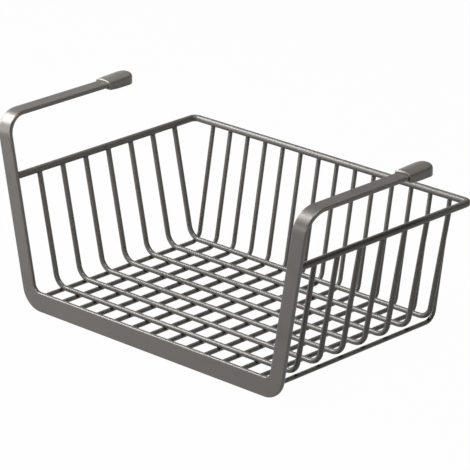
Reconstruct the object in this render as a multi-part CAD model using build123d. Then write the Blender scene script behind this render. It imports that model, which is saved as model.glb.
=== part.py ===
from build123d import *
from math import atan, cos, radians, sin, sqrt, tan
import os

# Under shelf basket, in millimetres.
# +X points to the right along the front, +Y to the back and +Z up.
# The origin is the middle of the footprint, at the lower edge of the front bar.

# Overall sizes
rim_width = 300.0            # between the axes of the two sides of the rim wire
rim_height = 107.9           # axis of the rim wire above the lower edge of the front bar
basket_depth = 206.8         # front face of the bar to the outer back of the rim wire
floor_side_inset = 19.0      # the floor's side edges inside the rim wire's axes, for the sides' lean
floor_back_inset = 20.6      # the floor's back edge ahead of the rim wire's outer back
arm_top_height = 157.8       # upper face of the arms above the lower edge of the front bar

# Flat bar of the front frame
bar_thickness = 3.5
bottom_bar_height = 16.5
leg_width = 13.5
bar_edge_radius = 1.1
leg_flare = 10.6             # degrees that each leg leans outwards
leg_outset = 3.1             # leg axis outside the rim wire's axis, where the wire is welded on
corner_outer_radius = 19.5
corner_inner_radius = 6.5
top_bend_radius = 16.9       # centre line of the bend from leg to arm
top_bend_sections = 9        # sections that carry the twist through that bend
arm_reach = 134.0            # front face of the bar to the bare end of an arm

# Round wires
rim_wire_diameter = 5.7
rim_corner_radius = 5.0
cross_wire_diameter = 4.3
cross_wire_count = 7
cross_wire_bend_radius = 12.0
first_cross_wire_inset = 27.7    # front face of the bar to the axis of the first cross wire
last_cross_wire_inset = 6.9      # axis of the last cross wire ahead of the floor's back edge
floor_wire_diameter = 3.7
floor_wire_count = 14
floor_wire_bend_radius = 10.0
outer_floor_wire_inset = 2.0     # axis of the outermost floor wires inside the floor's side edge
floor_wire_rise = 0.9            # axis of the floor wires above the bar's middle height
back_run_setback = 1.2           # upper ends of the floor wires behind the rim wire's axis

# Welds. Where two wires meet, both are pressed flat, so that they touch on a small plane.
weld_set_down = 0.1          # pressed off each basket wire where two of them cross
rim_land_depth = 0.5         # pressed off the rim wire where a basket wire ends on it
land_margin = 0.1            # flat beyond the wire that sits on it

# Push-on end caps
cap_length = 29.2
cap_lip_wall = 1.6           # plastic beside and under the arm at the open mouth
cap_crown_wall = 2.4         # plastic above the middle of the arm at the open mouth
cap_crown_rise = 1.2         # how much higher the crown is at the rear than at the mouth
cap_crown_radius = 26.0      # of the arched top, seen from the front
cap_end_wall = 6.0           # plastic beyond the bare end of the arm
cap_body_width = 18.0
cap_pad_drop = 2.2           # flat pad under the arm, below the arm's underside
cap_ramp_length = 8.0        # mouth to the start of the flat pad
cap_flank_share = 0.75       # of the widening behind the mouth, reached half way along it
cap_rear_flat = 2.0          # straight part of the round rear end, seen from above
cap_shoulder_radius = 2.8
cap_lower_edge_radius = 1.0
cap_mouth_bevel = 0.6
cap_fit_clearance = 0.15     # beside and above the arm inside the cap

cut_overrun = 3.0            # how far the cutting blocks reach past what they cut

# Radii and heights worked out from the sizes above
rim_radius = rim_wire_diameter / 2
cross_wire_radius = cross_wire_diameter / 2
floor_wire_radius = floor_wire_diameter / 2
front_y = -basket_depth / 2
bar_back_y = front_y + bar_thickness
rim_side_x = rim_width / 2
rim_back_y = front_y + basket_depth - rim_radius
rim_land_z = rim_height - rim_radius + rim_land_depth
back_run_top_y = rim_back_y + back_run_setback
floor_wire_z = bottom_bar_height / 2 + floor_wire_rise
cross_wire_z = floor_wire_z + floor_wire_radius + cross_wire_radius - 2 * weld_set_down
floor_side_x = rim_side_x - floor_side_inset
floor_back_y = front_y + basket_depth - floor_back_inset

# Where each wire of the two sets lies
last_cross_wire_y = floor_back_y - last_cross_wire_inset
first_cross_wire_y = front_y + first_cross_wire_inset
cross_wire_pitch = (last_cross_wire_y - first_cross_wire_y) / (cross_wire_count - 1)
cross_wire_ys = [first_cross_wire_y + i * cross_wire_pitch for i in range(cross_wire_count)]
outer_floor_wire_x = floor_side_x - outer_floor_wire_inset
floor_wire_pitch = 2 * outer_floor_wire_x / (floor_wire_count - 1)
floor_wire_xs = [-outer_floor_wire_x + i * floor_wire_pitch for i in range(floor_wire_count)]

# Axis of a leg, from the middle of the bottom bar to the arm
flare = radians(leg_flare)
leg_foot_z = bottom_bar_height / 2
leg_foot_x = rim_side_x + leg_outset - (rim_height - leg_foot_z) * tan(flare)
arm_z = arm_top_height - bar_thickness / 2
arm_x = leg_foot_x + (arm_z - leg_foot_z) * tan(flare)
arm_low_z = arm_top_height - bar_thickness
arm_end_y = front_y + arm_reach

# Ends and heights of the end caps
cap_rear_y = arm_end_y + cap_end_wall
cap_mouth_y = cap_rear_y - cap_length
cap_widest_y = cap_mouth_y + cap_ramp_length
cap_low_z = arm_low_z - cap_pad_drop
cap_mouth_crown_z = arm_top_height + cap_crown_wall
cap_rear_crown_z = cap_mouth_crown_z + cap_crown_rise


def wire_along(points, radius, bend_radius):
    """Round wire through the points, bent with one centre-line radius at every corner."""
    path = FilletPolyline(*points, radius=bend_radius)
    section = Plane(origin=path @ 0, z_dir=path % 0) * Circle(radius)
    return sweep(section, path=path)


def block_between(low, high):
    """Cutting block with its faces along the axes, given by two opposite corners."""
    size = [high[i] - low[i] for i in range(3)]
    middle = [(high[i] + low[i]) / 2 for i in range(3)]
    return Pos(*middle) * Box(*size)


def side_run_x(z):
    """Distance of a cross wire's side run from the middle, at a height."""
    rise_share = (z - cross_wire_z) / (rim_height - cross_wire_z)
    return floor_side_x + rise_share * (rim_side_x - floor_side_x)


def back_run_y(z):
    """Place of a floor wire's back run, at a height."""
    rise_share = (z - floor_wire_z) / (rim_height - floor_wire_z)
    return floor_back_y + rise_share * (back_run_top_y - floor_back_y)


def floor_bend():
    """Centre of a floor wire's back bend, seen from the side, as its y and z."""
    lean = atan((back_run_top_y - floor_back_y) / (rim_height - floor_wire_z))
    half_turn = (radians(90) - lean) / 2
    start_y = floor_back_y - floor_wire_bend_radius * tan(half_turn)
    return start_y, floor_wire_z + floor_wire_bend_radius


def crossing_plane(x, y):
    """Plane on which a cross wire rests on a floor wire.

    Ahead of the back bend the plane is level. In the bend it is square to the line from the
    bend's centre through the cross wire.
    """
    bend_y, bend_z = floor_bend()
    into_bend = max(y - bend_y, 0)
    down = Vector(0, into_bend, cross_wire_z - bend_z).normalized()
    to_axis = floor_wire_bend_radius - sqrt(into_bend ** 2 + (cross_wire_z - bend_z) ** 2)
    depth = (floor_wire_radius + cross_wire_radius - to_axis) / 2
    point = Vector(x, y, cross_wire_z) + down * (cross_wire_radius - depth)
    return Plane(origin=point, x_dir=(1, 0, 0), z_dir=-down)


def crossing_block(x, y, above):
    """Block above or below the touching plane, over the area that both wires press flat."""
    plane = crossing_plane(x, y)
    face = plane * Rectangle(floor_wire_diameter, cross_wire_diameter)
    return extrude(face, amount=floor_wire_radius, dir=plane.z_dir if above else -plane.z_dir)


def cross_wires_touch(x):
    """Whether a floor wire lies under the straight part of the cross wires."""
    lean = atan((rim_side_x - floor_side_x) / (rim_height - cross_wire_z))
    bend_start = floor_side_x - cross_wire_bend_radius * tan((radians(90) - lean) / 2)
    return abs(x) + floor_wire_radius < bend_start


def rim_wire():
    """Thick wire round both sides and the back, with a pressed flat under each wire's end."""
    corners = [
        (-rim_side_x, bar_back_y, rim_height),
        (-rim_side_x, rim_back_y, rim_height),
        (rim_side_x, rim_back_y, rim_height),
        (rim_side_x, bar_back_y, rim_height),
    ]
    wire = wire_along(corners, rim_radius, rim_corner_radius)
    height = rim_radius + cut_overrun
    level = Pos(0, 0, rim_land_z - height / 2)
    side_block = level * Box(2 * rim_width, cross_wire_diameter + 2 * land_margin, height)
    back_reach = rim_wire_diameter + 2 * cut_overrun
    back_block = level * Box(floor_wire_diameter + 2 * land_margin, back_reach, height)
    blocks = [Pos(0, y, 0) * side_block for y in cross_wire_ys]
    blocks += [Pos(x, rim_back_y, 0) * back_block for x in floor_wire_xs]
    return wire - blocks


def trim_above_rim_land(wire):
    """The wire cut off level with the pressed flats of the rim wire."""
    far = rim_width + basket_depth
    return wire - block_between((-far, -far, rim_land_z), (far, far, rim_land_z + far))


def cross_wire(y):
    """Thin wire across the basket: down the left side, along the floor and up the right side."""
    top_z = rim_height
    points = [
        (-side_run_x(top_z), y, top_z),
        (-floor_side_x, y, cross_wire_z),
        (floor_side_x, y, cross_wire_z),
        (side_run_x(top_z), y, top_z),
    ]
    wire = trim_above_rim_land(wire_along(points, cross_wire_radius, cross_wire_bend_radius))
    return wire - [crossing_block(x, y, above=False) for x in floor_wire_xs if cross_wires_touch(x)]


def floor_wire(x):
    """Thin wire from the front bar along the floor and up the back."""
    top_z = rim_height
    points = [
        (x, bar_back_y, floor_wire_z),
        (x, floor_back_y, floor_wire_z),
        (x, back_run_y(top_z), top_z),
    ]
    wire = trim_above_rim_land(wire_along(points, floor_wire_radius, floor_wire_bend_radius))
    if not cross_wires_touch(x):
        return wire
    return wire - [crossing_block(x, y, above=True) for y in cross_wire_ys]


def bar_section(plane):
    """Rounded cross section of the flat bar, on a plane."""
    return plane * RectangleRounded(leg_width, bar_thickness, bar_edge_radius)


def leg_top():
    """Right leg's axis where the top bend starts, and the leg's direction."""
    along = Vector(sin(flare), 0, cos(flare))
    corner = Vector(arm_x, front_y + bar_thickness / 2, arm_z)
    return corner - along * top_bend_radius, along


def bottom_and_legs():
    """Bottom run and both legs, bent edgewise out of one flat bar."""
    top, along = leg_top()
    square = Vector(cos(flare), 0, -sin(flare))
    outer_top = top + square * (leg_width / 2)
    inner_top = top - square * (leg_width / 2)
    outer_foot_x = outer_top.X - outer_top.Z * tan(flare)
    inner_foot_x = inner_top.X - (inner_top.Z - bottom_bar_height) * tan(flare)
    outer = FilletPolyline(
        (outer_top.X, outer_top.Z),
        (outer_foot_x, 0),
        (-outer_foot_x, 0),
        (-outer_top.X, outer_top.Z),
        radius=corner_outer_radius,
    )
    inner = FilletPolyline(
        (inner_top.X, inner_top.Z),
        (inner_foot_x, bottom_bar_height),
        (-inner_foot_x, bottom_bar_height),
        (-inner_top.X, inner_top.Z),
        radius=corner_inner_radius,
    )
    ends = [Line(outer @ 0, inner @ 0), Line(outer @ 1, inner @ 1)]
    outline = make_face([outer, inner, *ends])
    face = Plane(origin=(0, front_y, 0), x_dir=(1, 0, 0), z_dir=(0, -1, 0)) * outline
    plate = extrude(face, amount=-bar_thickness)
    end_faces = plate.faces().sort_by(Axis.Z)[-2:]
    end_edges = [edge for face in end_faces for edge in face.edges()]
    long_edges = plate.edges().filter_by(Axis.Y, reverse=True)
    return fillet([edge for edge in long_edges if edge not in end_edges], radius=bar_edge_radius)


def top_bend_and_arm():
    """Right bend from leg to arm, twisted until the wide face is level, and the arm itself."""
    start, along = leg_top()
    middle = start + Vector(0, top_bend_radius, 0)
    square = Vector(cos(flare), 0, -sin(flare))
    back = Vector(0, 1, 0)
    sections = []
    for i in range(top_bend_sections):
        share = i / (top_bend_sections - 1)
        turn = radians(90) * share
        place = middle + (along * sin(turn) - back * cos(turn)) * top_bend_radius
        tangent = along * cos(turn) + back * sin(turn)
        twist = flare * share
        wide = square * cos(twist) - tangent.cross(square) * sin(twist)
        sections.append(bar_section(Plane(origin=place, x_dir=wide, z_dir=tangent)))
    bend = loft(sections)
    arm_start = Plane(origin=middle + along * top_bend_radius, x_dir=(1, 0, 0), z_dir=(0, 1, 0))
    arm_length = arm_end_y - arm_start.origin.Y
    return bend + extrude(bar_section(arm_start), amount=arm_length)


def front_frame():
    """One flat bar: bottom run, two flared legs, two bends and two arms."""
    right = top_bend_and_arm()
    return bottom_and_legs() + right + mirror(right, about=Plane.YZ)


def cap_outline():
    """Outline of an end cap seen from above: it widens behind the mouth and ends round."""
    mouth_half = leg_width / 2 + cap_lip_wall
    body_half = cap_body_width / 2
    bulge_x = mouth_half + cap_flank_share * (body_half - mouth_half)
    flank_start = (mouth_half, cap_mouth_y)
    flank_end = (body_half, cap_widest_y)
    flank = ThreePointArc(flank_start, (bulge_x, cap_mouth_y + cap_ramp_length / 2), flank_end)
    side = Line(flank_end, (body_half, cap_rear_y))
    rear = Line((body_half, cap_rear_y), (-body_half, cap_rear_y))
    mouth = Line(flank_start, (-mouth_half, cap_mouth_y))
    left = [mirror(edge, about=Plane.YZ) for edge in (flank, side)]
    outline = make_face([flank, side, rear, mouth, *left])
    return fillet(outline.vertices().sort_by(Axis.Y)[-2:], radius=body_half - cap_rear_flat / 2)


def cap_ramp():
    """What is cut from under the mouth, so that the cap deepens up to its flat pad."""
    mouth_low_z = arm_low_z - cap_lip_wall
    below_z = cap_low_z - cut_overrun
    ahead_y = cap_mouth_y - cut_overrun
    points = [
        (ahead_y, below_z),
        (ahead_y, mouth_low_z),
        (cap_mouth_y, mouth_low_z),
        (cap_widest_y, cap_low_z),
        (cap_widest_y, below_z),
    ]
    profile = make_face(Polyline(*points, close=True))
    side_plane = Plane(origin=(0, 0, 0), x_dir=(0, 1, 0), z_dir=(1, 0, 0))
    return extrude(side_plane * profile, amount=cap_body_width, both=True)


def cap_crown():
    """Long cylinder whose upper side is the arched top of a cap, a little higher at the rear."""
    slope = Vector(0, cap_length, cap_crown_rise).normalized()
    up = slope.cross(Vector(-1, 0, 0))
    middle = Vector(0, (cap_mouth_y + cap_rear_y) / 2, (cap_mouth_crown_z + cap_rear_crown_z) / 2)
    axis = Plane(origin=middle - up * cap_crown_radius, x_dir=(1, 0, 0), z_dir=slope)
    return axis * Cylinder(cap_crown_radius, 2 * cap_length)


def end_cap():
    """Plastic sleeve for the end of an arm, with a flat pad that rests on the shelf."""
    height = cap_rear_crown_z + cut_overrun - cap_low_z
    body = extrude(Pos(0, 0, cap_low_z) * cap_outline(), amount=height) & cap_crown()
    body -= cap_ramp()
    mouth_edges = body.faces().sort_by(Axis.Y)[0].edges()
    top_edges = [edge for edge in body.faces().sort_by(Axis.Z)[-1].edges() if edge not in mouth_edges]
    body = fillet(top_edges, radius=cap_shoulder_radius)
    body = chamfer(body.faces().sort_by(Axis.Y)[0].edges(), length=cap_mouth_bevel)
    pad_edges = [edge for edge in body.edges().group_by(Axis.Z)[0] if edge.center().Y > cap_widest_y]
    body = fillet(pad_edges, radius=cap_lower_edge_radius)
    socket_half = leg_width / 2 + cap_fit_clearance
    socket_low = (-socket_half, cap_mouth_y - cut_overrun, arm_low_z)
    socket_high = (socket_half, arm_end_y, arm_top_height + cap_fit_clearance)
    return body - block_between(socket_low, socket_high)


os.makedirs("parts", exist_ok=True)
pieces = {
    "front_frame": front_frame(),
    "rim_wire": rim_wire(),
    "end_cap_left": Pos(-arm_x, 0, 0) * end_cap(),
    "end_cap_right": Pos(arm_x, 0, 0) * end_cap(),
}
for number, place in enumerate(cross_wire_ys, start=1):
    pieces[f"cross_wire_{number}"] = cross_wire(place)
for number, place in enumerate(floor_wire_xs, start=1):
    pieces[f"floor_wire_{number}"] = floor_wire(place)
for name, piece in pieces.items():
    piece.label = name
    export_step(piece, f"parts/{name}.step")
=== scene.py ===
from math import cos, pi, radians, sin, sqrt, tan

import bpy
from mathutils import Matrix, Vector


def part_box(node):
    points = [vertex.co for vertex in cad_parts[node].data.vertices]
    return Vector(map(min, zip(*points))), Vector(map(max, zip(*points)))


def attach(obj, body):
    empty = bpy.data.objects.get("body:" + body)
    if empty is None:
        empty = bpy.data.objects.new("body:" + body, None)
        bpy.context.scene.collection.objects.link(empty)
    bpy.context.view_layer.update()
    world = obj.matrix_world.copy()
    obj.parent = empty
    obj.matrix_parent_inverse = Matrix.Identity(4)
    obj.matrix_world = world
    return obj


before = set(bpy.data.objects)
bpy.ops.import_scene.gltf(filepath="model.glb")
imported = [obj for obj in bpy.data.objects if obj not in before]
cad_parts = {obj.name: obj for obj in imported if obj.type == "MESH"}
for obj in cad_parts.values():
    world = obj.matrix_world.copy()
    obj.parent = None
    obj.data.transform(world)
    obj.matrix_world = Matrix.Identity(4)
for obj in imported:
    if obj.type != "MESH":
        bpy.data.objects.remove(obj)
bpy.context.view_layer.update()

# Lengths are in metres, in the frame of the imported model: +X right, +Y back, +Z up.
MM = 0.001
X_AXIS = Vector((1, 0, 0))
Y_AXIS = Vector((0, 1, 0))
Z_AXIS = Vector((0, 0, 1))


def middle(name):
    low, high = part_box(name)
    return (low + high) / 2


# Sizes read from the frame
cross_names = [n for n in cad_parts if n.startswith("cross_wire_")]
floor_names = [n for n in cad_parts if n.startswith("floor_wire_")]
cross_names.sort(key=lambda n: middle(n).y)
floor_names.sort(key=lambda n: middle(n).x)
cross_low, cross_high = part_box(cross_names[0])
floor_low, floor_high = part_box(floor_names[0])
rim_low, rim_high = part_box("rim_wire")
cross_radius = (cross_high.y - cross_low.y) / 2
floor_radius = (floor_high.x - floor_low.x) / 2
rim_radius = (rim_high.z - rim_low.z) / 2
rim_axis_z = (rim_low.z + rim_high.z) / 2
rim_side_x = rim_high.x - rim_radius
rim_back_y = rim_high.y - rim_radius
bar_back_y = floor_low.y
cross_axis_z = cross_low.z + cross_radius
floor_axis_z = floor_low.z + floor_radius
crossing_z = (floor_axis_z + floor_radius + cross_axis_z - cross_radius) / 2
land_z = cross_high.z               # of the pressed flats under the rim wire

# Shader nodes
WHITE = (1, 1, 1, 1)
NODE_SPACING = 220                  # between nodes in the editor
MIX_SOCKETS = {                     # both inputs and the output by number, because their names repeat
    "FLOAT": (2, 3, 0),
    "RGBA": (6, 7, 2),
}


def new_material(name):
    material = bpy.data.materials.new(name)
    material.use_nodes = True
    material.node_tree.nodes.clear()
    return material


def feed(socket, value):
    """Links another node's output to a socket, or gives it a fixed value."""
    if isinstance(value, bpy.types.NodeSocket):
        socket.id_data.links.new(value, socket)
    else:
        socket.default_value = value


def node(material, kind, **values):
    """Adds a shader node. Each value goes to its input of that name, or else to its setting."""
    nodes = material.node_tree.nodes
    made = nodes.new(kind)
    made.location.x = NODE_SPACING * len(nodes)
    for name, value in values.items():
        label = name.replace("_", " ")
        if label in made.inputs:
            feed(made.inputs[label], value)
        else:
            setattr(made, name, value)
    return made


def maths(material, operation, *terms):
    """Result of a maths node on numbers and outputs of other nodes."""
    made = node(material, "ShaderNodeMath", operation=operation)
    for socket, term in zip(made.inputs, terms):
        feed(socket, term)
    return made.outputs["Value"]


def mixed(material, data_type, factor, first, second):
    """The first value where the factor is 0, and the second where it is 1."""
    made = node(material, "ShaderNodeMix", data_type=data_type)
    first_input, second_input, result = MIX_SOCKETS[data_type]
    feed(made.inputs[0], factor)
    feed(made.inputs[first_input], first)
    feed(made.inputs[second_input], second)
    return made.outputs[result]


def noise(material, place, scale, detail):
    made = node(material, "ShaderNodeTexNoise", Vector=place, Scale=scale, Detail=detail)
    return made.outputs["Fac"]


def bump(material, height, depth, under=None):
    """Normal of a surface that a height from 0 to 1 raises, on top of another bump."""
    made = node(material, "ShaderNodeBump", Strength=1.0, Distance=depth, Height=height)
    if under is not None:
        feed(made.inputs["Normal"], under)
    return made.outputs["Normal"]


# Coats. A scale is how many times a pattern repeats in a metre.
CLOUD_SCALE = 28.0
CLOUD_DETAIL = 3.0
FLAKE_SCALE = 4200.0
PEEL_SCALE = 420.0
PEEL_DETAIL = 1.0
GRAIN = 0.35 * MM                   # size of the sprayed grain
GRAIN_DETAIL = 2.0
BRUSH_SCALE = (3000.0, 60.0, 60.0)  # across the bar, up it or along the front, and front to back
BRUSH_DETAIL = 2.0
LEG_FLARE = radians(10.6)           # lean of the legs, which the brushed lines follow
BOTTOM_RUN_TOP = 18 * MM            # below it the lines run along the front
FLAKE_SHARE = 0.35                  # how much the flakes add to the clouds
TINT_RANGE = (0.35, 0.65)           # of that sum, from the darkest colour to the lightest
DARKEST = 0.93                      # as factors of the coat's colour
LIGHTEST = 1.08
ROUGH_RANGE = (0.3, 0.7)            # of the clouds, from the smoothest spots to the roughest
SMOOTHER = 0.04                     # than the coat's own roughness, at the smoothest
ROUGHER = 0.05                      # and at the roughest
BAR_GRAIN_DEPTH = 0.006 * MM
BAR_PEEL_DEPTH = 0.012 * MM
BAR_BRUSH_DEPTH = 0.006 * MM
WIRE_GRAIN_DEPTH = 0.002 * MM
WIRE_PEEL_DEPTH = 0.006 * MM
CAP_GRAIN_DEPTH = 0.01 * MM
CAP_PEEL_DEPTH = 0.01 * MM


def brushed_lines(material, place):
    """Noise drawn out along the bar: along the bottom run, up the leaning legs, and along the arms."""
    parts = node(material, "ShaderNodeSeparateXYZ", Vector=place).outputs
    beside = maths(material, "ABSOLUTE", parts["X"])
    upright = maths(material, "MULTIPLY_ADD", parts["Z"], -tan(LEG_FLARE), beside)
    low = maths(material, "LESS_THAN", parts["Z"], BOTTOM_RUN_TOP)
    across = mixed(material, "FLOAT", low, upright, parts["Z"])
    along = mixed(material, "FLOAT", low, parts["Z"], parts["X"])
    turned = node(material, "ShaderNodeCombineXYZ", X=across, Y=along, Z=parts["Y"])
    drawn = node(material, "ShaderNodeMapping", Vector=turned.outputs["Vector"], Scale=BRUSH_SCALE)
    return noise(material, drawn.outputs["Vector"], scale=1.0, detail=BRUSH_DETAIL)


def satin_coat(
    name, colour, metallic, roughness, specular, grain_depth, peel_depth, brush_depth=0.0,
):
    """Sprayed coat: fine grain, a slight orange peel, small flakes and a little cloudiness."""
    material = new_material(name)
    place = node(material, "ShaderNodeTexCoord").outputs["Object"]
    clouds = noise(material, place, CLOUD_SCALE, CLOUD_DETAIL)
    flakes = node(material, "ShaderNodeTexVoronoi", Vector=place, Scale=FLAKE_SCALE)
    grain = noise(material, place, 1 / GRAIN, GRAIN_DETAIL)
    peel = noise(material, place, PEEL_SCALE, PEEL_DETAIL)

    mottle = maths(material, "MULTIPLY_ADD", flakes.outputs["Distance"], FLAKE_SHARE, clouds)
    low, high = TINT_RANGE
    shade = node(material, "ShaderNodeMapRange", Value=mottle, From_Min=low, From_Max=high)
    dark = [c * DARKEST for c in colour]
    light = [min(c * LIGHTEST, 1) for c in colour]
    tint = mixed(material, "RGBA", shade.outputs["Result"], (*dark, 1), (*light, 1))

    low, high = ROUGH_RANGE
    rough = node(
        material, "ShaderNodeMapRange", Value=clouds, From_Min=low, From_Max=high,
        To_Min=roughness - SMOOTHER, To_Max=roughness + ROUGHER,
    )

    normal = bump(material, grain, grain_depth)
    normal = bump(material, peel, peel_depth, under=normal)
    if brush_depth:
        normal = bump(material, brushed_lines(material, place), brush_depth, under=normal)

    shader = node(
        material, "ShaderNodeBsdfPrincipled", Base_Color=tint, Metallic=metallic,
        Roughness=rough.outputs["Result"], Specular_IOR_Level=specular, Normal=normal,
    )
    node(material, "ShaderNodeOutputMaterial", Surface=shader.outputs["BSDF"])
    return material


def paint(names, material):
    for name in names:
        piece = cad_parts[name]
        piece.data.materials.clear()
        piece.data.materials.append(material)


bar_finish = satin_coat(
    "bar_finish", colour=(0.150, 0.142, 0.132), metallic=0.38, roughness=0.3, specular=0.2,
    grain_depth=BAR_GRAIN_DEPTH, peel_depth=BAR_PEEL_DEPTH, brush_depth=BAR_BRUSH_DEPTH,
)
wire_finish = satin_coat(
    "wire_finish", colour=(0.130, 0.126, 0.118), metallic=0.25, roughness=0.29, specular=0.12,
    grain_depth=WIRE_GRAIN_DEPTH, peel_depth=WIRE_PEEL_DEPTH,
)
cap_plastic = satin_coat(
    "cap_plastic", colour=(0.160, 0.152, 0.138), metallic=0.3, roughness=0.34, specular=0.3,
    grain_depth=CAP_GRAIN_DEPTH, peel_depth=CAP_PEEL_DEPTH,
)
paint(["front_frame"], bar_finish)
paint(["rim_wire", *cross_names, *floor_names], wire_finish)
paint(["end_cap_left", "end_cap_right"], cap_plastic)

# Meshes
SHARP_ANGLE = radians(50)           # edges that turn by more stay crisp


def mesh_object(name, vertices, faces, smooth=True):
    mesh = bpy.data.meshes.new(name)
    mesh.from_pydata([tuple(v) for v in vertices], [], faces)
    mesh.polygons.foreach_set("use_smooth", [smooth] * len(mesh.polygons))
    mesh.update()
    if smooth:
        mesh.set_sharp_from_angle(angle=SHARP_ANGLE)
    made = bpy.data.objects.new(name, mesh)
    bpy.context.scene.collection.objects.link(made)
    return made


def round_angles(count):
    """Angles spread evenly over a full turn."""
    return [2 * pi * i / count for i in range(count)]


def closed_ring(sections):
    """Vertices and faces of a closed ring through sections with equally many points."""
    count = len(sections[0])
    vertices = [point for section in sections for point in section]
    faces = []
    for i in range(len(sections)):
        j = (i + 1) % len(sections)
        for k in range(count):
            m = (k + 1) % count
            faces.append([i * count + k, j * count + k, j * count + m, i * count + m])
    return vertices, faces


# Welds: a small bead round each joint between two pieces of the frame
BEAD_SIDES = 24                     # sections round a bead
BEAD_STEPS = 4                      # across the hollow face of a bead
SINK = 0.05 * MM                    # how far the rims of a bead reach into what they join
CORE = 0.7 * MM                     # how far the hidden inside of a bead reaches into the wire
CROSSING_REACH = 1.5 * MM           # from the middle of a crossing to the rim of its bead
CROSSING_WAIST = 0.35               # how far that bead is drawn in, as a share of its height
LAND_ACROSS = 0.1 * MM              # reach of a bead under the rim, beyond the wire, across the rim
LAND_ALONG = 0.9 * MM               # and along the rim
LAND_DROP = 1.0 * MM                # and down the wire
BAR_BEAD = 0.9 * MM                 # where a floor wire meets the bar
RIM_END_BEAD = 0.6 * MM             # where the rim wire meets a leg
BEAD_WAVES = (                      # how many go round a bead, their height, and their turn per seed
    (2, 0.06, 1.7),
    (3, 0.04, 2.9),
)


def unevenness(seed, angle):
    """How full a bead is at an angle round its joint, as a factor near 1."""
    full = 1
    for count, height, turn in BEAD_WAVES:
        full += height * sin(count * angle + turn * seed)
    return full


def hollow_face(foot, lip, axis):
    """Points from a foot on one part to a lip on the other, tangent to both parts."""
    rise = axis * (lip - foot).dot(axis)
    inward = (lip - foot) - rise
    turns = [step / BEAD_STEPS * pi / 2 for step in range(BEAD_STEPS + 1)]
    return [foot + rise * (1 - cos(turn)) + inward * sin(turn) for turn in turns]


def plate_bead(centre, axis, radius, size, seed):
    """Bead round a wire that ends square on a flat plate. The axis points away from the plate."""
    side = axis.orthogonal().normalized()
    sections = []
    for angle in round_angles(BEAD_SIDES):
        out = side * cos(angle) + axis.cross(side) * sin(angle)
        full = size * unevenness(seed, angle)
        foot = centre + out * (radius + full) - axis * SINK
        lip = centre + out * (radius - SINK) + axis * full
        core = centre + out * (radius - CORE)
        sections.append(hollow_face(foot, lip, axis) + [core + axis * full, core - axis * SINK])
    return closed_ring(sections)


def land_bead(centre, across, radius, from_rim, down, seed):
    """Bead round a wire that ends on the pressed flat under the rim wire."""
    along = across.cross(Z_AXIS)
    sections = []
    for angle in round_angles(BEAD_SIDES):
        full = unevenness(seed, angle)
        out = across * cos(angle) + along * sin(angle)
        reach_across = (radius + LAND_ACROSS) * cos(angle)
        reach_along = (radius + LAND_ALONG * full) * sin(angle)
        foot = centre + across * reach_across + along * reach_along
        foot.z = rim_axis_z - sqrt(rim_radius ** 2 - (from_rim + reach_across) ** 2) + SINK
        lip = centre + down * LAND_DROP * full + out * (radius - SINK)
        core = centre + out * (radius - CORE)
        sections.append(hollow_face(foot, lip, Z_AXIS) + [core + down * LAND_DROP * full, core])
    return closed_ring(sections)


def crossing_bead(centre, seed):
    """Bead round the small flat where a cross wire rests on a floor wire."""
    above = cross_axis_z - crossing_z
    below = crossing_z - floor_axis_z
    sections = []
    for angle in round_angles(BEAD_SIDES):
        out = Vector((cos(angle), sin(angle), 0))
        reach = CROSSING_REACH * unevenness(seed, angle)
        top = max(above - sqrt(cross_radius ** 2 - (reach * out.y) ** 2), 0) + SINK
        bottom = min(sqrt(floor_radius ** 2 - (reach * out.x) ** 2) - below, 0) - SINK
        rim = centre + out * reach
        waist = centre + out * (reach - CROSSING_WAIST * (top - bottom))
        core = centre + out * (CROSSING_REACH / 2)
        sections.append([
            rim + Z_AXIS * top,
            waist + Z_AXIS * (2 * top + bottom) / 3,
            waist + Z_AXIS * (top + 2 * bottom) / 3,
            rim + Z_AXIS * bottom,
            core + Z_AXIS * bottom,
            core + Z_AXIS * top,
        ])
    return closed_ring(sections)


def weld_piece(name, beads):
    """One piece with all beads of a kind, in the finish of the wires."""
    vertices, faces = [], []
    for bead_vertices, bead_faces in beads:
        start = len(vertices)
        vertices += bead_vertices
        faces += [[start + i for i in face] for face in bead_faces]
    piece = mesh_object(name, vertices, faces)
    piece.data.materials.append(wire_finish)
    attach(piece, "root")


def wire_top(name, side=1):
    """Middle of a wire's end face under the rim. A cross wire has one on each side."""
    points = [v.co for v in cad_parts[name].data.vertices if v.co.z > land_z - SINK]
    if name in cross_names:
        points = [p for p in points if p.x * side > 0]
    low = Vector([min(p[i] for p in points) for i in range(3)])
    high = Vector([max(p[i] for p in points) for i in range(3)])
    return (low + high) / 2


def crossing_welds():
    """The outermost floor wires lie under the bends of the cross wires and aren't welded to them."""
    beads = []
    for cross in cross_names:
        for floor in floor_names[1:-1]:
            place = Vector((middle(floor).x, middle(cross).y, crossing_z))
            beads.append(crossing_bead(place, seed=len(beads)))
    weld_piece("crossing_welds", beads)


def rim_land_welds():
    """Where the cross wires and the floor wires end under the rim."""
    floor_side_x = middle(floor_names[-1]).x + floor_radius
    low_points = [v.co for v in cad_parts[floor_names[0]].data.vertices if v.co.z < land_z / 2]
    floor_back_y = max(p.y for p in low_points)
    beads = []
    for name in cross_names:
        for side in (-1, 1):
            top = wire_top(name, side)
            foot = Vector((side * floor_side_x, top.y, cross_axis_z))
            down = (foot - top).normalized()
            outset = abs(top.x) - rim_side_x
            beads.append(land_bead(top, X_AXIS * side, cross_radius, outset, down, seed=len(beads)))
    for name in floor_names:
        top = wire_top(name)
        foot = Vector((top.x, floor_back_y - floor_radius, floor_axis_z))
        down = (foot - top).normalized()
        setback = top.y - rim_back_y
        beads.append(land_bead(top, Y_AXIS, floor_radius, setback, down, seed=len(beads)))
    weld_piece("rim_land_welds", beads)


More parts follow.
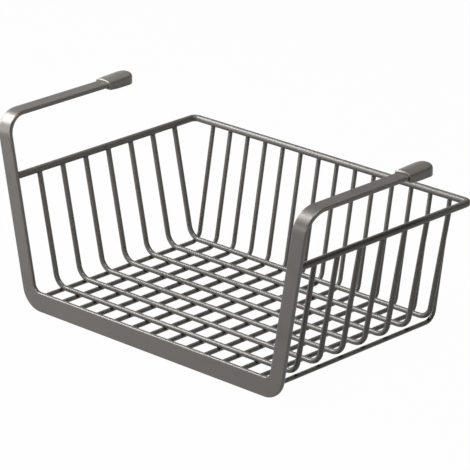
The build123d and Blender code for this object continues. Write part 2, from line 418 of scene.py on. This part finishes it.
def plate_welds():
    """Where the floor wires meet the bar, and the rim wire the legs."""
    on_bar, on_legs = [], []
    for name in floor_names:
        place = Vector((middle(name).x, bar_back_y, floor_axis_z))
        on_bar.append(plate_bead(place, Y_AXIS, floor_radius, BAR_BEAD, seed=len(on_bar)))
    for side in (-1, 1):
        place = Vector((side * rim_side_x, bar_back_y, rim_axis_z))
        on_legs.append(plate_bead(place, Y_AXIS, rim_radius, RIM_END_BEAD, seed=side))
    weld_piece("bar_welds", on_bar)
    weld_piece("rim_end_welds", on_legs)


crossing_welds()
rim_land_welds()
plate_welds()

# Studio: a round floor with a low wall far round it
FLOOR_RADIUS = 8.0
WALL_HEIGHT = 1.6
STAGE_SIDES = 96
STAGE_GREY = (0.15, 0.15, 0.15, 1)
STAGE_GLOW = 1.03                   # where 1 is white
FLOOR_WHITENESS = 0.95              # the rest is the paint, with the object's shadow
WALL_WHITENESS = 1.0
WORLD_STRENGTH = 0.05
LIGHT_AIM = Vector((0, 0, 0.07))    # inside the basket

# Azimuth and elevation in degrees, distance, width and height in metres, power in watts
LAMPS = {
    "key": (-68, 41, 1.5, 0.9, 0.7, 25),
    "near_left": (-55, 28, 0.65, 0.6, 0.6, 2.8),
    "front_strip": (0, 7, 1.2, 1.5, 0.16, 2.5),
    "top_right": (60, 75, 1.2, 0.5, 0.5, 9),
}


def direction(azimuth, elevation):
    """Unit vector away from the object. Azimuth 0 is the front, and a quarter turn is the right."""
    return Vector((
        sin(azimuth) * cos(elevation),
        -cos(azimuth) * cos(elevation),
        sin(elevation),
    ))


def stage_material(name, whiteness):
    """Grey matt paint. The camera, reflections and clear parts see a share of it as plain white."""
    material = new_material(name)
    matt = node(material, "ShaderNodeBsdfDiffuse", Color=STAGE_GREY)
    glow = node(material, "ShaderNodeEmission", Color=WHITE, Strength=STAGE_GLOW)
    ray = node(material, "ShaderNodeLightPath").outputs
    seen = maths(material, "MAXIMUM", ray["Is Camera Ray"], ray["Is Glossy Ray"])
    seen = maths(material, "MAXIMUM", seen, ray["Is Transmission Ray"])
    share = maths(material, "MULTIPLY", seen, whiteness)
    blend = node(material, "ShaderNodeMixShader")
    sources = (share, matt.outputs["BSDF"], glow.outputs["Emission"])
    for socket, source in zip(blend.inputs, sources):
        feed(socket, source)
    node(material, "ShaderNodeOutputMaterial", Surface=blend.outputs["Shader"])
    return material


def studio():
    ring = [Vector((cos(angle), sin(angle), 0)) for angle in round_angles(STAGE_SIDES)]
    low = [v * FLOOR_RADIUS for v in ring]
    high = [v + Z_AXIS * WALL_HEIGHT for v in low]
    floor = mesh_object("studio_floor", low, [list(range(STAGE_SIDES))], smooth=False)
    faces = []
    for i in range(STAGE_SIDES):
        j = (i + 1) % STAGE_SIDES
        faces.append([j, i, i + STAGE_SIDES, j + STAGE_SIDES])
    wall = mesh_object("studio_wall", low + high, faces)
    floor.data.materials.append(stage_material("floor_paint", FLOOR_WHITENESS))
    wall.data.materials.append(stage_material("wall_paint", WALL_WHITENESS))


def soft_light(name, azimuth, elevation, distance, width, height, power):
    data = bpy.data.lights.new(name, "AREA")
    data.shape = "RECTANGLE"
    data.size = width
    data.size_y = height
    data.energy = power
    made = bpy.data.objects.new(name, data)
    bpy.context.scene.collection.objects.link(made)
    out = direction(radians(azimuth), radians(elevation))
    made.location = LIGHT_AIM + out * distance
    made.rotation_euler = out.to_track_quat("Z", "Y").to_euler()


def lighting():
    world = bpy.data.worlds.new("studio_world")
    world.use_nodes = True
    background = world.node_tree.nodes["Background"]
    background.inputs["Color"].default_value = WHITE
    background.inputs["Strength"].default_value = WORLD_STRENGTH
    bpy.context.scene.world = world
    for name, values in LAMPS.items():
        soft_light(name, *values)


# Camera, as fitted to the photograph
IMAGE_SIDE = 470                    # pixels
VIEW_AZIMUTH = radians(44.264)      # from the front towards the right
VIEW_ELEVATION = radians(20.645)
VIEW_ROLL = radians(-0.291)
VIEW_DISTANCE = 2.651               # camera to the aim point, along the view
PIXELS_PER_MM = 1.27076             # at the aim point
AIM_PIXEL = (241.399, 227.409)      # where the aim point lies in the photograph
AIM_POINT = Vector((0.0, 0.0016, 0.075))    # near the middle of the model
SENSOR = 36.0                       # millimetres, as Blender counts sensors and lenses
CLIP_END = 100.0                    # well past the wall


def camera():
    """Camera at the photograph's angle, with the aim point on its pixel."""
    back = direction(VIEW_AZIMUTH, VIEW_ELEVATION)
    level = (-back).cross(Z_AXIS).normalized()
    upright = level.cross(-back)
    right = level * cos(VIEW_ROLL) + upright * sin(VIEW_ROLL)
    up = upright * cos(VIEW_ROLL) - level * sin(VIEW_ROLL)
    middle_pixel = (IMAGE_SIDE - 1) / 2
    per_pixel = MM / PIXELS_PER_MM
    place = AIM_POINT + back * VIEW_DISTANCE
    place -= right * (AIM_PIXEL[0] - middle_pixel) * per_pixel
    place += up * (AIM_PIXEL[1] - middle_pixel) * per_pixel
    data = bpy.data.cameras.new("camera")
    data.sensor_width = SENSOR
    data.lens = PIXELS_PER_MM / MM * VIEW_DISTANCE / IMAGE_SIDE * SENSOR
    data.clip_end = CLIP_END
    made = bpy.data.objects.new("camera", data)
    bpy.context.scene.collection.objects.link(made)
    made.matrix_world = Matrix((
        (right.x, up.x, back.x, place.x),
        (right.y, up.y, back.y, place.y),
        (right.z, up.z, back.z, place.z),
        (0, 0, 0, 1),
    ))
    bpy.context.scene.camera = made


studio()
lighting()
camera()
bpy.context.scene.view_settings.view_transform = "Standard"
